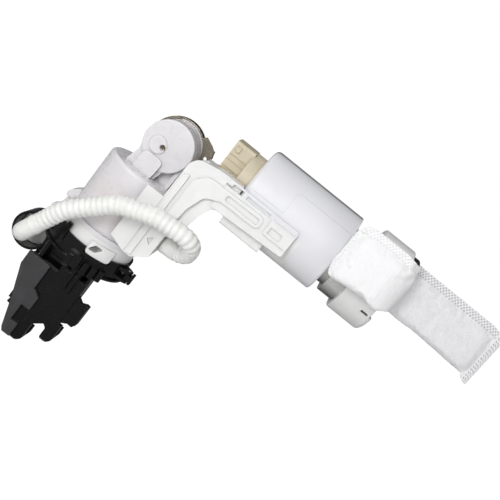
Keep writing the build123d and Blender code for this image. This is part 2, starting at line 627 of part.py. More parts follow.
def outlet_cup():
    """Black cup with the outlet spigot behind it, on a web that joins the collar."""
    cup = along_y(CUP_R, -8.0, 6.0, CUP_X, CUP_Z) - along_y(CUP_R - 1.3, -9.0, 4.0, CUP_X, CUP_Z)
    spigot = along_y(SPIGOT_R, 5.0, 19.0, NIPPLE_X, NIPPLE_Z)
    cup += chamfer(spigot.edges().filter_by(GeomType.CIRCLE).group_by(Axis.Y)[-1], 0.6)
    cup += slab_y([(-19.5, -23.4), (-17.4, -23.4), (-17.4, -9.3), (-21.5, -9.3), (-19.6, -13.0)], -7.0, 5.0)
    cup -= along_y(2.6, 3.0, 30, NIPPLE_X, NIPPLE_Z) + along_z(COLLAR_R + 1.3, COLLAR_BOTTOM - 0.1, 5)
    cup -= along_y(CUP_R - 1.3, -9.0, 4.0, CUP_X, CUP_Z)
    return cup


# ---------------------------------------------------------------- collar and hook bracket
def collar():
    """Ring under the base cap with its rim, lugs and bosses."""
    ring = ring_z(COLLAR_R, CAP_R + 0.2, COLLAR_BOTTOM, COLLAR_TOP)
    ring += ring_z(COLLAR_R, 12.0, COLLAR_BOTTOM, COLLAR_BOTTOM + 2.4)
    ring += ring_z(CAP_R + 0.5, CAP_R - 2.2, COLLAR_BOTTOM, -FIT)
    notch = block(TONGUE_X0 - 0.4, TONGUE_X1 + 0.4, -30, -12, TONGUE_Z - 0.2, 20)
    ring -= notch
    # taller lug at the left front and a step in front of the lug
    lug = ring_z(COLLAR_R + 0.6, CAP_R + 0.2, -4, 5.6)
    ring += lug & block(-12.0, -9.4, -30, -12, -4, 5.6)
    ring += lug & block(-16.0, -12.0, -30, -8, -4, 3.6)
    # front clip block with its rib
    ring += block(-2.4, 5.0, -25.0, -21.0, -10.6, -3.4)
    ring += block(-1.4, 0.6, -25.8, -24.0, -10.6, -5.0)
    # round bosses and web along the right front
    for x, y in ((8.0, -22.6), (11.8, -20.6), (15.2, -17.8)):
        ring += along_z(2.0, COLLAR_BOTTOM - 1.6, -4.6, x, y)
    ring += ring_z(COLLAR_R + 1.2, CAP_R, COLLAR_BOTTOM, COLLAR_BOTTOM + 1.2)
    # ears for the latch
    for z0 in (-6.2, -1.2):
        ring += slab_z([(19.0, -10.2), (24.6, -9.4), (27.0, -7.4), (27.0, -4.6), (24.6, -2.6),
                        (21.5, -2.0)], z0, z0 + 1.6, radius=0.5)
    ring -= along_z(PIN_R + 0.02, -20, 10, PIN_X, PIN_Y)
    return ring


def post():
    """Column under the collar with guide rails, slot and side flange."""
    body = block(-16.0, 13.0, -11.6, -2.0, -49.0, COLLAR_BOTTOM + 1)
    body -= block(-14.2, 1.6, -20, -4.4, -30.0, -12.0)
    body -= block(8.2, 11.4, -20, -4.4, -26.0, -11.0)
    body += block(3.2, 4.8, -14.2, -10, -26.4, -10.4) + block(6.4, 7.8, -14.2, -10, -27.2, -10.4)
    ear = [(12.0, -25.0), (13.2, -25.6), (16.2, -27.6), (18.8, -26.4), (20.7, -26.6), (20.7, -38.0),
           (19.2, -41.0), (16.6, -40.8), (12.0, -43.6)]
    body += slab_y(ear, -11.6, -8.8, radius=0.5)
    body += slab_y([(19.2, -27.0), (20.7, -27.0), (20.7, -38.0), (19.2, -38.6)], -14.6, -8.8, radius=0.3)
    body -= block(6.6, 10.2, -20, -6.0, -36.6, -28.0)
    return body


def throat_z(bottom):
    return bottom + HOOK_SOLE + HOOK_R


def hook(x0, x1, bottom, top, nose):
    """J-shaped hook with a round throat, open upwards; nose is the X of its lowest point."""
    throat = throat_z(bottom)
    left, right = HOOK_Y - HOOK_R, HOOK_Y + HOOK_R
    side = [(left - 3.6, top), (left - 3.6, bottom + 2), (left - 1.0, bottom), (right + 1.2, bottom),
            (right + 3.0, bottom + 2.4), (right + 3.0, throat + 1.4), (right, throat + 1.4),
            (right, bottom + 3), (left, bottom + 3), (left, top)]
    form = slab_x(side, x0, x1, radius=[0, 1.2, 1.2, 1.2, 1.2, 1.2, 0.6, 0, 0, 0])
    form += block(x0, x1, left - 0.5, right + 0.5, bottom + 1.5, throat - 0.5)
    form -= along_x(HOOK_R, x0 - 1, x1 + 1, HOOK_Y, throat)
    form -= block(x0 - 1, x1 + 1, left, right, throat, throat + 20)
    front = [(x0, top + 1), (x0, bottom + 2.8), (nose - 1.2, bottom - 0.6), (nose + 1.2, bottom - 0.6),
             (x1, bottom + 3.8), (x1, top + 1)]
    return form & slab_y(front, -30, 30, radius=[0, 1.6, 0.8, 0.8, 1.6, 0])


def hook_bracket():
    body_outline = [(-19.6, -22.0), (-3.0, -22.0), (-3.0, -18.0), (13.0, -18.0), (13.0, -43.4), (15.1, -46.2),
                    (15.1, -50.0), (8.9, -50.0), (7.0, -48.4), (1.6, -53.0), (2.2, -56.0), (-10.2, -56.0),
                    (-12.4, -51.6), (-15.2, -51.2), (-14.2, -46.8), (-19.6, -29.5)]
    plate = slab_y(body_outline, -12.4, -9.0, radius=0.4)
    body = collar() + post() + plate
    # free way for a bar above the upper hook's throat
    x0, x1, bottom = UPPER_HOOK
    body -= block(x0 - 0.6, x1 + 1, HOOK_Y - HOOK_R, 20, throat_z(bottom), throat_z(bottom) + 2.6 * HOOK_R)
    return body + hook(*LOWER_HOOK, -49.0, -3.0) + hook(*UPPER_HOOK, -44.0, 10.6)


def front_plate():
    """Flat grey cover plate on the front of the bracket."""
    points = [(-20.4, -21.2), (-7.2, -21.2), (-7.2, -36.0), (-6.0, -36.4), (-2.6, -38.8), (-2.6, -46.9),
              (-7.6, -47.0), (-7.6, -57.0), (-3.2, -57.0), (-3.2, -65.0), (-8.0, -65.2), (-9.4, -63.0),
              (-14.2, -47.0), (-20.4, -29.5)]
    plate = slab_y(points, -14.4, -12.5, radius=0.4)
    plate = chamfer(plate.faces().sort_by(Axis.Y)[0].edges(), 0.3)
    return plate


def collar_latch():
    """Lever between the ears of the collar, with a thumb pad at its free end."""
    lever = along_z(1.9, -4.4, -1.4, PIN_X, PIN_Y)
    lever += slab_z([(24.6, -7.8), (27.8, -8.6), (28.6, -6.8), (28.4, -4.6), (24.6, -4.2)], -4.4, -1.4,
                    radius=0.4)
    lever += slab_z([(27.4, -8.8), (28.9, -8.6), (28.8, -4.4), (27.4, -4.2)], -5.4, 0.2, radius=0.3)
    return lever - along_z(PIN_R + RUN, -10, 10, PIN_X, PIN_Y)


def latch_pin():
    return along_z(PIN_R, -6.5, 0.7, PIN_X, PIN_Y)


# ---------------------------------------------------------------- writing the parts
def write(name, *shapes):
    """Writes one node, its origin in the lower hook; several shapes become one group of separate solids."""
    left, right, bottom = LOWER_HOOK
    home = Pos(-(left + right) / 2, -HOOK_Y, -throat_z(bottom))
    solids = []
    for shape in shapes:
        solids.extend((home * shape).solids())
    export_step(solids[0] if len(solids) == 1 else Compound(children=solids), f"parts/{name}.step")


def main():
    os.makedirs("parts", exist_ok=True)
    for make in (filter_base_cap, ground_tab, filter_seal, filter_housing, filter_element, filter_core_tube,
                 regulator_body, regulator_seat, regulator_oring, regulator_diaphragm, regulator_valve,
                 regulator_spring, regulator_cover, regulator_clip, bracket_arm, pump_holder, pump_isolator,
                 holder_end_cover, end_bumper, pump_shell, pump_end_head, outlet_oring, check_valve_poppet,
                 check_valve_spring, relief_valve_ball, relief_valve_spring, shaft, armature, commutator,
                 pump_casing, impeller, inlet_cover, strainer_bag, strainer_neck, strainer_frame, fuel_hose,
                 hose_nipple, outlet_cup, hook_bracket, front_plate, collar_latch, latch_pin):
        write(make.__name__, make())
    for make in (filter_end_plates, terminal_blades, armature_windings, motor_magnets, brush_springs,
                 shaft_bushings):
        write(make.__name__, *make())
    write("upper_brush", motor_brushes(1))
    write("lower_brush", motor_brushes(-1))


main()
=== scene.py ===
import json
import math

import bmesh
import bpy
import numpy as np
from mathutils import Matrix, Vector


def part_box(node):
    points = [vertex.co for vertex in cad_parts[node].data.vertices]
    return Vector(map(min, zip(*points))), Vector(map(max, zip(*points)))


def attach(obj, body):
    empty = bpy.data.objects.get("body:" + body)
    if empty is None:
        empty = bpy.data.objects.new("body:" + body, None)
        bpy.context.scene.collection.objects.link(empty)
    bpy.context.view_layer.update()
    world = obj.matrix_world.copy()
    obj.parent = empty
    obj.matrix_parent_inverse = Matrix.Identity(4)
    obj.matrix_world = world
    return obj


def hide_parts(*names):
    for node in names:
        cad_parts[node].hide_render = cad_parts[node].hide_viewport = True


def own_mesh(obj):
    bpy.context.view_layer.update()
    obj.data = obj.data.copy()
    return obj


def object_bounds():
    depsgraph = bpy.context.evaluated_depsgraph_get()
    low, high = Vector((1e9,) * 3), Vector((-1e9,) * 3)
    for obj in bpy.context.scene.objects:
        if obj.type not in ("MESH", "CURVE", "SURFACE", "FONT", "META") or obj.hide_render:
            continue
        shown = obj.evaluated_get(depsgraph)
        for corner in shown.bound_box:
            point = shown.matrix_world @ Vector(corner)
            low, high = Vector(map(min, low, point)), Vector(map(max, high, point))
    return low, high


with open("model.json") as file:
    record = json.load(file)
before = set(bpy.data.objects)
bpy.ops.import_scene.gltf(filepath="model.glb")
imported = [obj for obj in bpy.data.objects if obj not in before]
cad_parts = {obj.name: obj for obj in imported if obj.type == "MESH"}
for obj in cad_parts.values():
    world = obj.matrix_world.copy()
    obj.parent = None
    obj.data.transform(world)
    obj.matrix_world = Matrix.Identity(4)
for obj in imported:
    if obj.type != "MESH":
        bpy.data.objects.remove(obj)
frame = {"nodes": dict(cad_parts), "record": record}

cad_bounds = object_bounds()
MM = 0.001
ROOT = "module"                 # the body that carries everything that doesn't move
SEAL_LIFT = 2.1                 # height of the seal's lower face above the canister's foot, mm


def canister_foot():
    """Centre of the filter canister's bottom face. All places below are in millimetres from it."""
    low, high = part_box("filter_seal")
    return Vector(((low.x + high.x) / 2, (low.y + high.y) / 2, low.z - SEAL_LIFT * MM))


HOME = canister_foot()


def mm(x, y, z):
    return HOME + Vector((x, y, z)) * MM


def box_mm(node):
    """Lowest and highest corner of a CAD node, in millimetres from the canister's foot."""
    return [(corner - HOME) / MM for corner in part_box(node)]


# ================================================================ materials
RIB_PITCH = 1.05 * MM
RIB_SCALE = 0.314               # width of one band of Blender's band texture at scale 1


class Graph:
    """Short names for building one material's node tree."""

    def __init__(self, name):
        self.material = bpy.data.materials.new(name)
        self.material.use_nodes = True
        self.tree = self.material.node_tree
        self.bsdf = self.tree.nodes["Principled BSDF"]
        self.place = self.add("ShaderNodeTexCoord").outputs["Object"]

    def add(self, kind, **settings):
        node = self.tree.nodes.new(kind)
        for key, value in settings.items():
            setattr(node, key, value)
        return node

    def feed(self, socket, value):
        if isinstance(value, bpy.types.NodeSocket):
            self.tree.links.new(value, socket)
        else:
            socket.default_value = value

    def stretched(self, scale):
        node = self.add("ShaderNodeMapping")
        self.feed(node.inputs["Vector"], self.place)
        node.inputs["Scale"].default_value = scale
        return node.outputs["Vector"]

    def noise(self, size_mm, detail=3.0, roughness=0.55, stretch=None):
        """Noise whose blobs are about size_mm wide, between 0 and 1."""
        node = self.add("ShaderNodeTexNoise")
        node.inputs["Scale"].default_value = 1.0 / (size_mm * MM)
        node.inputs["Detail"].default_value = detail
        node.inputs["Roughness"].default_value = roughness
        self.feed(node.inputs["Vector"], self.place if stretch is None else self.stretched(stretch))
        return node.outputs["Fac"]

    def span(self, value, low, high, to_low=0.0, to_high=1.0):
        """Maps value from low..high to to_low..to_high and clamps it."""
        node = self.add("ShaderNodeMapRange")
        self.feed(node.inputs["Value"], value)
        for key, number in (("From Min", low), ("From Max", high), ("To Min", to_low), ("To Max", to_high)):
            node.inputs[key].default_value = number
        return node.outputs["Result"]

    def math(self, operation, a, b=0.0):
        node = self.add("ShaderNodeMath", operation=operation)
        self.feed(node.inputs[0], a)
        self.feed(node.inputs[1], b)
        return node.outputs[0]

    def mix(self, factor, a, b, blend="MIX"):
        node = self.add("ShaderNodeMix", data_type="RGBA", blend_type=blend)
        self.feed(node.inputs["Factor"], factor)
        for socket, value in ((node.inputs[6], a), (node.inputs[7], b)):
            self.feed(socket, value if isinstance(value, bpy.types.NodeSocket) else (*value, 1.0))
        return node.outputs[2]

    def along(self, axis, low_mm, high_mm):
        """0 below one place on an axis, 1 above another, both in millimetres from the canister's foot."""
        part = self.add("ShaderNodeSeparateXYZ")
        self.feed(part.inputs[0], self.place)
        home = HOME["XYZ".index(axis)]
        return self.span(part.outputs[axis], home + low_mm * MM, home + high_mm * MM)

    def facing(self, axis, low, high):
        """How far the surface faces along an axis, mapped to 0..1."""
        part = self.add("ShaderNodeSeparateXYZ")
        self.feed(part.inputs[0], self.add("ShaderNodeNewGeometry").outputs["Normal"])
        return self.span(part.outputs[axis], low, high)

    def crevice(self, reach_mm):
        """1 on open surfaces, falling to 0 deep in corners."""
        node = self.add("ShaderNodeAmbientOcclusion", samples=8)
        node.inputs["Distance"].default_value = reach_mm * MM
        return node.outputs["AO"]

    def soft_edges(self, radius_mm):
        node = self.add("ShaderNodeBevel", samples=4)
        node.inputs["Radius"].default_value = radius_mm * MM
        return node.outputs["Normal"]

    def bump(self, height, depth_mm, strength=1.0, normal=None):
        node = self.add("ShaderNodeBump")
        node.inputs["Strength"].default_value = strength
        node.inputs["Distance"].default_value = depth_mm * MM
        self.feed(node.inputs["Height"], height)
        if normal is not None:
            self.feed(node.inputs["Normal"], normal)
        return node.outputs["Normal"]

    def set(self, **inputs):
        for key, value in inputs.items():
            socket = self.bsdf.inputs[key.replace("_", " ")]
            if isinstance(value, tuple) and len(value) == 3 and socket.type == "RGBA":
                value = (*value, 1.0)
            self.feed(socket, value)
        return self.material


GRAIN_DEPTH = 0.012              # tool marks of the moulded pieces, mm
MOULD_EDGE = 0.25                # radius that rounds their edges, mm


def moulded(name, tint, shade, rough, glow, patches=()):
    """Moulded plastic: cloudy tint, painted shade in the crevices, fine tool grain and softly rounded edges.

    glow is how much light passes into the plastic. Each patch is a mask and the colour that shows
    where the mask is 1."""
    g = Graph(name)
    cloud = g.span(g.noise(26, 4), 0.35, 0.68)
    streak = g.span(g.noise(5, 3, stretch=(1.0, 1.0, 0.22)), 0.45, 0.75, 0.0, 0.35)
    colour = g.mix(cloud, tint, tuple(0.35 * s + 0.65 * t for s, t in zip(shade, tint)))
    colour = g.mix(streak, colour, tuple(0.25 * s + 0.75 * t for s, t in zip(shade, tint)))
    for mask, patch in patches:
        colour = g.mix(mask(g), colour, patch)
    # painted shade: an occlusion node pulls corners and crevices towards the shade colour
    corner = g.span(g.crevice(2.2), 0.2, 0.9, 0.8, 0.0)
    colour = g.mix(corner, colour, shade)
    roughness = g.span(g.noise(3.2, 4), 0.3, 0.75, rough - 0.07, rough + 0.09)
    height = g.math("ADD", g.noise(0.22, 2), g.math("MULTIPLY", g.noise(9, 2), 2.0))
    normal = g.bump(height, GRAIN_DEPTH, 0.55, g.soft_edges(MOULD_EDGE))
    g.set(Base_Color=colour, Roughness=roughness, Normal=normal, Specular_IOR_Level=0.45)
    return g.set(Subsurface_Weight=glow, Subsurface_Radius=(1.0, 0.95, 0.9), Subsurface_Scale=1.6 * MM)


def show_through(g):
    """Where the filter shows faintly pink through the canister: low and a little left of the middle."""
    left, right = g.along("X", -17, -2), g.along("X", 14, 0)
    low, high = g.along("Z", 12, 22), g.along("Z", 38, 26)
    middle = g.math("MULTIPLY", g.math("MULTIPLY", left, right), g.math("MULTIPLY", low, high))
    return g.math("MULTIPLY", middle, 0.7)


def on_barrel(g):
    """The part of the pump's holder above or right of the arm, given a cooler, darker white than the arm."""
    sides = g.math("MULTIPLY", g.along("X", 44.0, 44.5), g.along("X", 99.6, 99.2))
    past_arm = g.math("MAXIMUM", g.along("Z", 69.0, 69.4), g.along("X", 81.5, 82.0))
    return g.math("MULTIPLY", g.math("MULTIPLY", sides, past_arm), 0.9)


def barrel_top_shade(g):
    """Painted shade: a dark strip along the top of the holder, behind its front half, where the top turns
    away from the light.
    """
    sides = g.math("MULTIPLY", g.along("X", 45.4, 46.2), g.along("X", 99.0, 98.4))
    top = g.math("MULTIPLY", g.along("Z", 92.6, 93.2), g.along("Y", -4.4, -3.0))
    return g.math("MULTIPLY", g.math("MULTIPLY", sides, top), 0.85)


def white_acetal():
    # the dark grey patch along the holder's top is painted shade
    return moulded("white_acetal", (0.84, 0.84, 0.83), (0.64, 0.64, 0.65), 0.36, glow=0.25,
                   patches=((on_barrel, (0.77, 0.77, 0.80)), (barrel_top_shade, (0.24, 0.24, 0.25))))


def canister_plastic():
    return moulded("canister_plastic", (0.79, 0.775, 0.795), (0.57, 0.545, 0.565), 0.30, glow=0.4,
                   patches=((show_through, (0.80, 0.70, 0.69)),))


def natural_plastic():
    return moulded("natural_plastic", (0.91, 0.91, 0.875), (0.76, 0.76, 0.71), 0.32, glow=0.45)


def cream_plastic():
    return moulded("cream_plastic", (0.71, 0.665, 0.53), (0.36, 0.24, 0.09), 0.38, glow=0.12)


def gloss_black():
    """Glossy black plastic with fine scratches and a little dust."""
    g = Graph("black_plastic")
    scratch = g.noise(0.9, 5, 0.7, stretch=(0.12, 1.0, 1.0))
    worn = g.span(g.noise(4, 4), 0.3, 0.75, 0.14, 0.30)
    rough = g.math("ADD", worn, g.span(scratch, 0.58, 0.72, 0.0, 0.16))
    dust = g.span(g.noise(0.5, 2), 0.66, 0.78, 0.0, 0.3)
    colour = g.mix(dust, (0.003, 0.0032, 0.0036), (0.012, 0.012, 0.013))
    height = g.math("ADD", g.noise(0.5, 3), g.math("MULTIPLY", g.noise(7, 2), 3.0))
    normal = g.bump(height, 0.02, 0.5, g.soft_edges(0.28))
    return g.set(Base_Color=colour, Roughness=rough, Normal=normal, Specular_IOR_Level=0.5)


def grey_black_plastic():
    g = Graph("grey_black_plastic")
    fleck = g.span(g.noise(0.35, 2), 0.4, 0.7)
    colour = g.mix(fleck, (0.036, 0.036, 0.038), (0.050, 0.050, 0.053))
    rub = g.span(g.noise(9, 4, stretch=(1, 1, 0.4)), 0.5, 0.75, 0, 0.4)
    colour = g.mix(rub, colour, (0.085, 0.085, 0.09))
    normal = g.bump(g.noise(0.3, 2), 0.02, 0.6, g.soft_edges(0.3))
    rough = g.span(g.noise(5, 3), 0.3, 0.7, 0.42, 0.56)
    return g.set(Base_Color=colour, Roughness=rough, Normal=normal)


def black_rubber():
    g = Graph("black_rubber")
    bloom = g.span(g.noise(3.5, 4), 0.45, 0.75, 0, 0.6)
    colour = g.mix(bloom, (0.012, 0.012, 0.012), (0.035, 0.034, 0.033))
    normal = g.bump(g.noise(0.4, 3), 0.03, 0.7, g.soft_edges(0.4))
    return g.set(Base_Color=colour, Roughness=g.span(g.noise(2, 3), 0.3, 0.7, 0.55, 0.75), Normal=normal)


def metal(name, tint, stain, rough, stretch=(1.0, 1.0, 1.0), edge=0.15, fade=None, metallic=1.0):
    """Drawn or rolled metal: fine lines along one direction, darker stains and soft edges.

    fade gives a mask of painted shade that is 1 where the metal is painted nearly black."""
    g = Graph(name)
    line = g.noise(0.35, 4, 0.65, stretch)
    spot = g.span(g.noise(6, 5, 0.6), 0.5, 0.75, 0, 0.7)
    colour = g.mix(spot, tint, stain)
    colour = g.mix(g.span(line, 0.35, 0.7, 0.0, 0.35), colour, stain)
    if fade:
        colour = g.mix(fade(g), colour, tuple(0.12 * c for c in stain))
    normal = g.bump(line, 0.012, 0.5, g.soft_edges(edge))
    roughness = g.span(line, 0.3, 0.7, rough - 0.05, rough + 0.08)
    roughness = g.math("ADD", roughness, g.math("MULTIPLY", spot, 0.08))
    return g.set(Base_Color=colour, Metallic=metallic, Roughness=roughness, Normal=normal)


def can_steel():
    """Bright plated can with painted shade: darker where it turns away below."""
    return metal("can_steel", (0.92, 0.92, 0.90), (0.50, 0.49, 0.47), 0.2, (6.0, 0.15, 0.15),
                 fade=lambda g: g.facing("Z", -0.60, -0.93), metallic=0.45)


def spring_steel():
    return metal("spring_steel", (0.40, 0.35, 0.28), (0.15, 0.12, 0.09), 0.26, (1.0, 0.2, 1.0), 0.2)


def bright_steel():
    return metal("bright_steel", (0.58, 0.57, 0.55), (0.34, 0.33, 0.31), 0.24)


def motor_steel():
    """Laminated core: thin sheets stacked along the shaft."""
    return metal("motor_steel", (0.33, 0.33, 0.35), (0.12, 0.12, 0.13), 0.38, (8.0, 0.1, 0.1))


def copper():
    return metal("copper", (0.72, 0.36, 0.20), (0.40, 0.18, 0.09), 0.28, (0.2, 1.0, 1.0))


def sintered_bronze():
    return metal("sintered_bronze", (0.52, 0.37, 0.18), (0.25, 0.17, 0.08), 0.5)


def ferrite():
    g = Graph("ferrite")
    colour = g.mix(g.span(g.noise(0.6, 4), 0.4, 0.7), (0.035, 0.035, 0.038), (0.08, 0.08, 0.085))
    normal = g.bump(g.noise(0.5, 4), 0.04, 0.8, g.soft_edges(0.2))
    return g.set(Base_Color=colour, Roughness=0.6, Normal=normal)


def carbon():
    g = Graph("carbon")
    colour = g.mix(g.span(g.noise(0.4, 4), 0.45, 0.7), (0.02, 0.02, 0.02), (0.06, 0.055, 0.05))
    normal = g.bump(g.noise(0.3, 4), 0.03, 0.7, g.soft_edges(0.15))
    return g.set(Base_Color=colour, Roughness=0.5, Normal=normal)


def filter_paper():
    g = Graph("filter_paper")
    fibre = g.noise(0.8, 5, 0.7, stretch=(1, 1, 0.3))
    colour = g.mix(g.span(fibre, 0.35, 0.7), (0.72, 0.56, 0.30), (0.60, 0.44, 0.22))
    return g.set(Base_Color=colour, Roughness=0.85, Normal=g.bump(fibre, 0.08, 0.7))


def strainer_fabric():
    """Spun-bonded cloth: fine upright ribs, random fibres and a cloudy thickness; the pad in front carries
    painted light that makes it whiter, and the weld dots carry painted shade.
    """
    g = Graph("strainer_fabric")
    rib = g.add("ShaderNodeTexWave", wave_type="BANDS", bands_direction="X", wave_profile="SIN")
    rib.inputs["Scale"].default_value = RIB_SCALE / RIB_PITCH
    rib.inputs["Distortion"].default_value = 1.4
    rib.inputs["Detail"].default_value = 2.0
    rib.inputs["Detail Scale"].default_value = 3.0
    g.feed(rib.inputs["Vector"], g.place)
    fibre = g.noise(0.3, 5, 0.75, stretch=(1.0, 1.0, 0.35))
    cross = g.noise(0.5, 4, 0.7, stretch=(0.4, 1.0, 1.0))
    threads = g.math("ADD", g.math("MULTIPLY", rib.outputs["Fac"], 0.2), g.math("ADD", fibre, cross))
    colour = g.mix(g.span(threads, 0.75, 1.35), (0.66, 0.65, 0.67), (0.83, 0.825, 0.84))
    cloud = g.span(g.noise(2.6, 5, 0.65, stretch=(1.0, 1.0, 0.6)), 0.40, 0.62)
    colour = g.mix(g.math("MULTIPLY", cloud, 0.4), colour, (0.64, 0.625, 0.64))
    dot = g.add("ShaderNodeAttribute", attribute_name="weld").outputs["Fac"]
    seam = g.add("ShaderNodeAttribute", attribute_name="seam").outputs["Fac"]
    colour = g.mix(g.math("MULTIPLY", seam, 0.5), colour, (0.84, 0.84, 0.85))
    # painted light: the pad in front of the tail is painted whiter than the tail
    pad = g.along("X", 134.0, 131.5)
    colour = g.mix(g.math("MULTIPLY", pad, 0.8), colour, (0.91, 0.91, 0.92))
    # painted shade: the weld dots are painted darker, as shade in their dimples, and only faintly on the
    # bright pad
    dim = g.math("MULTIPLY", dot, g.span(pad, 0.0, 1.0, 0.95, 0.3))
    colour = g.mix(dim, colour, (0.33, 0.325, 0.34))
    normal = g.bump(threads, 0.05, 0.6)
    g.set(Subsurface_Weight=0.25, Subsurface_Radius=(1.0, 1.0, 1.0), Subsurface_Scale=0.6 * MM)
    return g.set(Base_Color=colour, Roughness=0.88, Sheen_Weight=0.2, Normal=normal, Specular_IOR_Level=0.2)


MAKERS = {
    "white_acetal": white_acetal, "canister_plastic": canister_plastic, "natural_plastic": natural_plastic,
    "cream_plastic": cream_plastic, "black_plastic": gloss_black, "grey_black_plastic": grey_black_plastic,
    "black_rubber": black_rubber, "spring_steel": spring_steel, "can_steel": can_steel,
    "bright_steel": bright_steel, "motor_steel": motor_steel, "copper": copper,
    "sintered_bronze": sintered_bronze, "ferrite": ferrite, "carbon": carbon, "filter_paper": filter_paper,
    "strainer_fabric": strainer_fabric,
}
finish = {slot: make() for slot, make in MAKERS.items()}


def dress_nodes():
    """Every CAD node takes the material of its slot in the record."""
    for part in frame["record"]["subparts"]:
        mesh = frame["nodes"][part["node"]].data
        mesh.materials.clear()
        mesh.materials.append(finish[part["material_slot"]])


dress_nodes()


# ================================================================ mesh helpers
def add_piece(name, mesh):
    """Links a mesh as a new piece of the part that doesn't move."""
    piece = bpy.data.objects.new(name, mesh)
    bpy.context.scene.collection.objects.link(piece)
    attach(piece, ROOT)
    return piece


def new_piece(name, verts, faces, slot):
    mesh = bpy.data.meshes.new(name)
    mesh.from_pydata([tuple(v) for v in verts], [], faces)
    mesh.update()
    mesh.shade_smooth()
    mesh.materials.append(finish[slot])
    return add_piece(name, mesh)


def rounded_path(points, radii, step):
    """Points along straight runs joined by arcs of the given radii, about a step apart."""
    points = [np.array(p, float) for p in points]
    rough = [points[0]]
    for before, corner, after, r in zip(points, points[1:], points[2:], radii):
        back = (before - corner) / np.linalg.norm(before - corner)
        ahead = (after - corner) / np.linalg.norm(after - corner)
        half = math.acos(np.clip(back @ ahead, -1, 1)) / 2
        middle = corner + (back + ahead) / np.linalg.norm(back + ahead) * r / math.sin(half)
        start, end = corner + back * r / math.tan(half), corner + ahead * r / math.tan(half)
        a, b = start - middle, end - middle
        turn = math.acos(np.clip(a @ b / r / r, -1, 1))
        for t in np.linspace(0, 1, 40):
            rough.append(middle + (math.sin((1 - t) * turn) * a + math.sin(t * turn) * b) / math.sin(turn))
    rough.append(points[-1])
    rough = np.array(rough)
    gone = np.concatenate([[0], np.cumsum(np.linalg.norm(np.diff(rough, axis=0), axis=1))])
    at = np.linspace(0, gone[-1], int(gone[-1] / step) + 1)
    return at, np.stack([np.interp(at, gone, rough[:, k]) for k in range(3)], axis=1)


BORE_STEP = 6                   # the plain bore has one ring for this many rings of the outside


def swept_tube(path, radii, sides, bore):
    """Tube along a path with its own outer radius at every point and a plain bore."""
    tangent = np.gradient(path, axis=0)
    tangent /= np.linalg.norm(tangent, axis=1)[:, None]
    side = np.cross(tangent[0], (0.0, 0.0, 1.0))
    verts, faces, inner = [], [], []
    turn = np.linspace(0, 2 * math.pi, sides, endpoint=False)
    for point, along, r in zip(path, tangent, radii):
        side = side - along * (side @ along)
        side /= np.linalg.norm(side)
        up = np.cross(along, side)
        ring = np.cos(turn)[:, None] * side + np.sin(turn)[:, None] * up
        verts.extend(point + ring * r)
        inner.append(point + ring * bore)
    n = len(path)
    keep = list(range(0, n, BORE_STEP)) + ([n - 1] if (n - 1) % BORE_STEP else [])
    base = len(verts)
    for k in keep:
        verts.extend(inner[k])

    def skin(first, rows, flip):
        for a in range(rows - 1):
            for k in range(sides):
                j = (k + 1) % sides
                quad = [first + a * sides + k, first + a * sides + j, first + (a + 1) * sides + j,
                        first + (a + 1) * sides + k]
                faces.append(quad[::-1] if flip else quad)

    skin(0, n, False)
    skin(base, len(keep), True)
    last_outer, last_inner = (n - 1) * sides, base + (len(keep) - 1) * sides
    for outer_row, inner_row, flip in ((0, base, True), (last_outer, last_inner, False)):
        for k in range(sides):
            j = (k + 1) % sides
            quad = [outer_row + k, outer_row + j, inner_row + j, inner_row + k]
            faces.append(quad[::-1] if flip else quad)
    return verts, faces


# ================================================================ corrugated hose
HOSE_PITCH = 2.9
HOSE_CREST, HOSE_ROOT, HOSE_BORE = 4.75, 4.28, 3.56
CUFF_END, CUFF_BARB = 31.0, 7.5      # lengths of the smooth ends, at the cup and at the barb
CAD_HOSE_R = 4.7                     # radius of the hose that this one replaces
HOSE_SIDES = 48


def hose_centre():
    """The hose's centre line, between the nipple in the cup and the barb of the arm."""
    low, _ = box_mm("fuel_hose")
    nipple_x, nipple_z = low.x + CAD_HOSE_R, low.z + CAD_HOSE_R
    barb_y, barb_z = -12.0, 24.7
    points = [(nipple_x, -3.0, nipple_z), (nipple_x, -23.0, nipple_z), (-15.0, -30.0, 12.0),
              (4.0, -32.0, 31.0), (22.0, -32.5, 38.0), (43.2, -29.0, 38.6),
              (43.2, barb_y, barb_z), (30.2, barb_y, barb_z)]
    return rounded_path(points, [7.5, 24, 24, 20, 9.2, 9.2], HOSE_PITCH / 12)


def hose_radius(at):
    """Outer radius along the hose: smooth cuffs at both ends, rounded crests between them."""
    length = at[-1]
    wave = 0.5 - 0.5 * np.cos(2 * math.pi * (at - CUFF_END) / HOSE_PITCH)
    ridged = HOSE_ROOT + (HOSE_CREST - HOSE_ROOT) * wave ** 0.75
    fade = np.clip((at - CUFF_END) / 9.0, 0, 1) * np.clip((length - CUFF_BARB - at) / 2.0, 0, 1)
    cuff = np.full_like(at, HOSE_CREST - 0.12)
    cuff += 0.25 * np.exp(-((at - CUFF_END + 1.5) / 1.1) ** 2)
    cuff += 0.22 * np.exp(-((length - 1.2 - at) / 0.8) ** 2)
    return cuff * (1 - fade) + ridged * fade


def build_hose():
    at, path = hose_centre()
    verts, faces = swept_tube(path * MM + np.array(HOME), hose_radius(at) * MM, HOSE_SIDES,
                              HOSE_BORE * MM)
    hose = new_piece("corrugated_hose", verts, faces, "natural_plastic")
    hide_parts("fuel_hose")


build_hose()


# ================================================================ strainer sock
BAG_STEP = 1.0                 # grid of the simulated cloth, mm
FLAT = 0.32                    # half thickness of the welded layers
SEAM_TOP, SEAM_END, SEAM_LEFT = 3.6, 4.4, 2.4
ROWS = 31                      # points of a sheet from its lower to its upper edge
DOT_PITCH, DOT_ROW, DOT_R, DOT_DEPTH = 1.8, 1.0, 0.52, 0.25
CLOTH_SCALE = 20.0             # the cloth is simulated at this many times its size
CLOTH_FRAMES = 20
CLOTH_REACH = 1.5              # no point moves further than this in the simulation, mm
FLAT_NAMES = ("run", "from_top", "from_end", "from_left")    # a point's place on the flat sheet


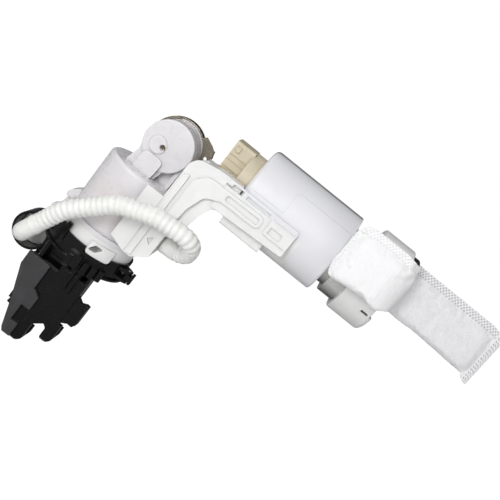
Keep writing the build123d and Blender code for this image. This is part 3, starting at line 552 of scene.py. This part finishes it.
def bag_spine():
    """Middle line of the bag seen from above: pad, step round the end cover, tail."""
    low, high = box_mm("strainer_bag")
    pad_y, tail_y = low.y + 3.4, high.y - 3.0
    points = [(low.x, pad_y, 0), (127.2, pad_y, 0), (132.0, -25.0, 0), (132.8, tail_y - 2.2, 0),
              (137.4, tail_y, 0), (187.0, tail_y, 0)]
    return rounded_path(points, [2.0, 3.0, 1.6, 6.0], BAG_STEP)


# lower edge, upper edge and half thickness of the bag, each as X and its value there
BAG_LOW = [(98.0, 74.0), (98.8, 69.0), (100.5, 67.2), (104.0, 66.8), (112.0, 67.3), (120.0, 67.5),
           (125.0, 67.0), (128.0, 67.6), (131.5, 68.6), (134.0, 67.4), (141.0, 66.9), (178.0, 66.3),
           (181.0, 66.4), (184.5, 64.2), (187.0, 63.6)]
BAG_HIGH = [(98.0, 91.5), (99.0, 94.6), (101.5, 96.8), (105.0, 97.6), (122.0, 97.7), (127.0, 97.0),
            (131.0, 95.8), (136.0, 95.2), (179.0, 95.0), (183.0, 94.0), (185.6, 92.0), (187.0, 88.5)]
BAG_FULL = [(98.0, 2.4), (123.0, 2.4), (128.0, 1.0), (130.5, 0.45), (134.5, 0.45), (142.0, 1.7),
            (187.0, 1.7)]


def at_x(table, x):
    return float(np.interp(x, *zip(*table)))


def ramp(distance, width):
    return min(1.0, max(0.0, distance / width))


def rim_loop(steps):
    """Numbers of one sheet's points along its whole edge."""
    rim = [k * ROWS for k in range(steps)]
    rim += [(steps - 1) * ROWS + j for j in range(1, ROWS)]
    rim += [k * ROWS + ROWS - 1 for k in range(steps - 2, -1, -1)]
    rim += [j for j in range(ROWS - 2, 0, -1)]
    return rim


def bag_faces(steps):
    """Squares of both sheets and the narrow band that joins their edges."""
    count = steps * ROWS
    faces = []
    for side, start in enumerate((0, count)):
        for k in range(steps - 1):
            for j in range(ROWS - 1):
                a = start + k * ROWS + j
                quad = [a, a + ROWS, a + ROWS + 1, a + 1]
                faces.append(quad if side == 0 else quad[::-1])
    rim = rim_loop(steps)
    for a, b in zip(rim, rim[1:] + rim[:1]):
        faces.append([b, a, a + count, b + count])
    return faces


def bag_form():
    """Two sheets that meet in the seams: vertices, faces, pins and flat coordinates."""
    at, spine = bag_spine()
    tangent = np.gradient(spine, axis=0)
    tangent /= np.linalg.norm(tangent, axis=1)[:, None]
    across = np.stack([tangent[:, 1], -tangent[:, 0], np.zeros(len(at))], axis=1)
    length = at[-1]
    verts, pin, flat = [], [], []
    for side in (1, -1):
        for k in range(len(at)):
            x = spine[k][0]
            low, high, full = (at_x(table, x) for table in (BAG_LOW, BAG_HIGH, BAG_FULL))
            for j in range(ROWS):
                z = low + (high - low) * (j / (ROWS - 1))
                from_top, from_low = high - z, z - low
                from_end, from_left = length - at[k], at[k]
                rise = ramp(from_top - SEAM_TOP, 5.0)
                rise *= ramp(from_end - SEAM_END, 6.0)
                rise *= ramp(from_left - SEAM_LEFT, 4.0)
                rise *= ramp(from_low + 0.15, 3.0)
                rise = math.sin(rise * math.pi / 2)
                point = spine[k] + across[k] * side * (FLAT + full * rise)
                verts.append((point[0], point[1], z))
                seam = from_top < SEAM_TOP or from_end < SEAM_END or from_left < SEAM_LEFT
                pin.append(1.0 if seam else 0.25 if from_low < 1.0 else 0.0)
                flat.append((at[k], from_top, from_end, from_left))
    return verts, bag_faces(len(at)), pin, flat


def inflate(piece, pin):
    """Blows the cloth up a little between its pinned seams, as the ladder inside holds it open."""
    rest = np.array([v.co for v in piece.data.vertices])
    group = piece.vertex_groups.new(name="pinned")
    for index, weight in enumerate(pin):
        if weight:
            group.add([index], weight, "REPLACE")
    cloth = piece.modifiers.new("cloth", "CLOTH")
    setup = cloth.settings
    setup.quality = 6
    setup.mass = 0.3
    setup.tension_stiffness = setup.compression_stiffness = 18
    setup.shear_stiffness = 9
    setup.bending_stiffness = 0.6
    setup.vertex_group_mass = "pinned"
    setup.pin_stiffness = 1.0
    setup.use_pressure = True
    setup.uniform_pressure_force = 4.0
    setup.shrink_min = -0.035
    setup.effector_weights.gravity = 0.0
    cloth.collision_settings.use_collision = False
    cloth.point_cache.frame_end = CLOTH_FRAMES
    for number in range(1, CLOTH_FRAMES + 1):
        bpy.context.scene.frame_set(number)
    shaped = piece.evaluated_get(bpy.context.evaluated_depsgraph_get())
    moved = np.array([v.co for v in shaped.data.vertices])
    piece.modifiers.remove(cloth)
    piece.vertex_groups.remove(group)
    bpy.context.scene.frame_set(1)
    limit = CLOTH_REACH * MM * CLOTH_SCALE
    shift = moved - rest
    size = np.linalg.norm(shift, axis=1)[:, None]
    shift *= np.minimum(1.0, limit / np.maximum(size, 1e-9))
    piece.data.vertices.foreach_set("co", (rest + shift).astype(np.float32).ravel())
    piece.data.update()


def weld_dots(flat):
    """How deep each point lies in the pattern of weld dots, 0 to 1, from its flat coordinates."""
    along, from_top, from_end, from_left = flat.T

    def band(run, offset, width):
        row = np.floor(offset / DOT_ROW)
        shifted = run + np.where(row % 2 == 0, 0.0, DOT_PITCH / 2)
        dx = (shifted / DOT_PITCH - np.round(shifted / DOT_PITCH)) * DOT_PITCH
        dy = offset - (row + 0.5) * DOT_ROW
        dot = np.clip(1.25 - np.hypot(dx, dy) / DOT_R, 0, 1)
        return np.where((offset < width) & (offset > 0.15), dot, 0.0)

    end = band(from_top, from_end - 0.3, 3 * DOT_ROW)
    top = np.where(from_end < SEAM_END, 0, band(along, from_top - 0.1, 4 * DOT_ROW))
    left = np.where(from_top < SEAM_TOP, 0, band(from_top, from_left - 0.1, 2 * DOT_ROW))
    return np.maximum(np.maximum(end, top), left)


def sock_at_rest():
    """The two sheets at the cloth's scale, their flat coordinates kept with the points, and the pins."""
    verts, faces, pin, flat = bag_form()
    scale = MM * CLOTH_SCALE
    sock = new_piece("strainer_sock", np.array(verts) * scale, faces, "strainer_fabric")
    for column, name in enumerate(FLAT_NAMES):
        keep_values(sock.data, name, np.array([f[column] for f in flat]))
    return sock, pin


def keep_values(mesh, name, values):
    attribute = mesh.attributes.new(name, "FLOAT", "POINT")
    attribute.data.foreach_set("value", values.astype(np.float32))


def read_values(mesh, name):
    values = np.zeros(len(mesh.vertices), np.float32)
    mesh.attributes[name].data.foreach_get("value", values)
    return values


def read_vectors(mesh, name):
    vectors = np.zeros(len(mesh.vertices) * 3, np.float32)
    mesh.vertices.foreach_get(name, vectors)
    return vectors.reshape(-1, 3)


def refine(sock):
    """Subdivides the sheets and makes the result the sock's own mesh."""
    fine = sock.modifiers.new("fine", "SUBSURF")
    fine.levels = fine.render_levels = 2
    bpy.context.view_layer.update()
    shaped = sock.evaluated_get(bpy.context.evaluated_depsgraph_get())
    mesh = bpy.data.meshes.new_from_object(shaped)
    sock.modifiers.clear()
    sock.data = mesh
    return mesh


def crumple(place):
    """Slight unevenness of the cloth in millimetres, from a few crossing waves."""
    x, _, z = ((place - np.array(HOME)) / MM).T
    wide = 0.10 * np.sin(0.9 * x + 2.1 * np.sin(0.31 * z)) * np.sin(0.55 * z + 0.4 * x)
    return wide + 0.06 * np.sin(2.3 * x + 1.3 * z) * np.sin(1.1 * z - 0.7 * x)


def build_sock():
    sock, pin = sock_at_rest()
    inflate(sock, pin)
    sock.data.transform(Matrix.Translation(HOME) @ Matrix.Scale(1 / CLOTH_SCALE, 4))
    mesh = refine(sock)
    place, normal = read_vectors(mesh, "co"), read_vectors(mesh, "normal")
    flat = np.stack([read_values(mesh, name) for name in FLAT_NAMES], axis=1)
    _, from_top, from_end, _ = flat.T
    weld = weld_dots(flat)
    inside = np.clip((from_top - SEAM_TOP) / 2, 0, 1) * np.clip((from_end - SEAM_END) / 2, 0, 1)
    lift = crumple(place) * inside - DOT_DEPTH * weld
    place = place + normal * (lift * MM)[:, None]
    mesh.vertices.foreach_set("co", place.astype(np.float32).ravel())
    seam = np.clip((SEAM_TOP - from_top) / 0.6, 0, 1) + np.clip((SEAM_END - from_end) / 0.6, 0, 1)
    keep_values(mesh, "weld", weld)
    keep_values(mesh, "seam", np.clip(seam, 0, 1))
    mesh.shade_smooth()
    mesh.update()
    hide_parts("strainer_bag")


build_sock()


# ================================================================ springs
PUMP_Z = 72.4


def sprung(name, node, side=0):
    """Copy of a CAD spring as a piece of the part that doesn't move, with the CAD node hidden.

    side takes only the coils above (1) or below (-1) the pump's shaft, and 0 takes all.
    """
    mesh = frame["nodes"][node].data.copy()
    form = bmesh.new()
    form.from_mesh(mesh)
    shaft = mm(0, 0, PUMP_Z).z
    bmesh.ops.delete(form, geom=[v for v in form.verts if (v.co.z - shaft) * side < 0], context="VERTS")
    form.to_mesh(mesh)
    form.free()
    piece = add_piece(name, mesh)
    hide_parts(node)
    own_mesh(piece)


def build_springs():
    sprung("check_valve_coil", "check_valve_spring")
    sprung("relief_valve_coil", "relief_valve_spring")
    sprung("regulator_coil", "regulator_spring")
    sprung("upper_brush_coil", "brush_springs", 1)
    sprung("lower_brush_coil", "brush_springs", -1)


build_springs()


# ================================================================ stage, light and camera
def pale(name, colour, shown, mirrored):
    """Pale matte floor: near white to the camera, plain paper to light, dim in reflections."""
    g = Graph(name)
    tint = g.mix(g.span(g.noise(60, 3), 0.4, 0.7, 0, 0.4), colour, tuple(0.97 * c for c in colour))
    ray = g.add("ShaderNodeLightPath")
    tint = g.mix(ray.outputs["Is Glossy Ray"], tint, (mirrored,) * 3)
    g.set(Base_Color=tint, Roughness=0.9, Specular_IOR_Level=0.1)
    lit = g.add("ShaderNodeEmission")
    lit.inputs["Strength"].default_value = 1.14
    blend = g.add("ShaderNodeMixShader")
    g.feed(blend.inputs["Fac"], g.math("MULTIPLY", ray.outputs["Is Camera Ray"], shown))
    g.feed(blend.inputs[1], g.bsdf.outputs[0])
    g.feed(blend.inputs[2], lit.outputs[0])
    g.feed(g.tree.nodes["Material Output"].inputs["Surface"], blend.outputs[0])
    return g.material


def build_floor():
    """Round pale floor below the hooks, far larger than the object."""
    low, high = cad_bounds
    floor = bpy.data.meshes.new("floor")
    form = bmesh.new()
    bmesh.ops.create_circle(form, cap_ends=True, radius=4.0, segments=96)
    form.to_mesh(floor)
    form.free()
    thing = bpy.data.objects.new("floor", floor)
    thing.location = ((low.x + high.x) / 2, (low.y + high.y) / 2, low.z - 0.5 * MM)
    floor.materials.append(pale("floor", (0.80, 0.80, 0.80), 0.88, 0.35))
    bpy.context.scene.collection.objects.link(thing)


WORLD_FRONT, WORLD_BACK, WORLD_GLOSS = 0.60, 0.10, 0.5


def build_world():
    """White room that is bright on the viewer's side and dim behind; the camera sees it white."""
    world = bpy.data.worlds.new("studio")
    bpy.context.scene.world = world
    world.use_nodes = True
    tree = world.node_tree

    def node(kind, **settings):
        made = tree.nodes.new(kind)
        for key, value in settings.items():
            setattr(made, key, value)
        return made

    ray = node("ShaderNodeLightPath")
    part = node("ShaderNodeSeparateXYZ")
    tree.links.new(node("ShaderNodeTexCoord").outputs["Generated"], part.inputs[0])
    front = node("ShaderNodeMapRange")
    for key, value in (("From Min", -1), ("From Max", 0.8), ("To Min", WORLD_FRONT), ("To Max", WORLD_BACK)):
        front.inputs[key].default_value = value
    tree.links.new(part.outputs["Y"], front.inputs["Value"])
    dimmed = node("ShaderNodeMath", operation="MULTIPLY")
    dimmed.inputs[1].default_value = WORLD_GLOSS
    tree.links.new(front.outputs["Result"], dimmed.inputs[0])
    last = front.outputs["Result"]
    for seen, value in (("Is Glossy Ray", dimmed.outputs[0]), ("Is Camera Ray", 1.0)):
        choose = node("ShaderNodeMix")
        tree.links.new(ray.outputs[seen], choose.inputs["Factor"])
        tree.links.new(last, choose.inputs["A"])
        if isinstance(value, float):
            choose.inputs["B"].default_value = value
        else:
            tree.links.new(value, choose.inputs["B"])
        last = choose.outputs["Result"]
    back = tree.nodes["Background"]
    back.inputs["Color"].default_value = (1, 1, 1, 1)
    tree.links.new(last, back.inputs["Strength"])


def lamp(name, place, aim, size, power):
    """Lamp at a place in metres from the canister's foot, with its sides in metres and power in watts."""
    light = bpy.data.lights.new(name, "AREA")
    light.shape = "RECTANGLE"
    light.size, light.size_y = size
    light.energy = power
    thing = bpy.data.objects.new(name, light)
    thing.location = HOME + Vector(place)
    thing.rotation_euler = (Vector(aim) - thing.location).to_track_quat("-Z", "Y").to_euler()
    bpy.context.scene.collection.objects.link(thing)


CAMERA_AIM = mm(65.4, 0.0, 46.5)
CAMERA_REACH = 0.420
CAMERA_RISE = math.radians(12.5)
CAMERA_ROLL = math.radians(38.9)
FRAME_WIDTH = 0.250              # width of the picture at the aim point


def build_camera():
    camera = bpy.data.cameras.new("camera")
    camera.sensor_width = 36.0
    camera.lens = camera.sensor_width * CAMERA_REACH / FRAME_WIDTH
    camera.clip_start = 0.01
    thing = bpy.data.objects.new("camera", camera)
    bpy.context.scene.collection.objects.link(thing)
    ahead = Vector((0, math.cos(CAMERA_RISE), -math.sin(CAMERA_RISE)))
    flat_right, flat_up = Vector((1, 0, 0)), Vector((0, math.sin(CAMERA_RISE), math.cos(CAMERA_RISE)))
    right = math.cos(CAMERA_ROLL) * flat_right + math.sin(CAMERA_ROLL) * flat_up
    up = -math.sin(CAMERA_ROLL) * flat_right + math.cos(CAMERA_ROLL) * flat_up
    turn = Matrix((right, up, -ahead)).transposed()
    thing.matrix_world = Matrix.Translation(CAMERA_AIM - ahead * CAMERA_REACH) @ turn.to_4x4()
    bpy.context.scene.camera = thing


def build_light():
    aim = CAMERA_AIM
    lamp("key", (-0.25, -0.95, 0.42), aim, (0.5, 0.5), 5.5)
    lamp("fill", (0.8, -0.75, 0.1), aim, (0.6, 0.6), 1.8)
    lamp("rim", (-0.5, 0.5, 0.6), aim, (0.3, 0.3), 0.7)
    lamp("spark", (-0.35, -0.5, 0.55), aim, (0.06, 0.06), 0.5)


build_floor()
build_world()
build_camera()
build_light()
bpy.context.scene.view_settings.view_transform = "Standard"
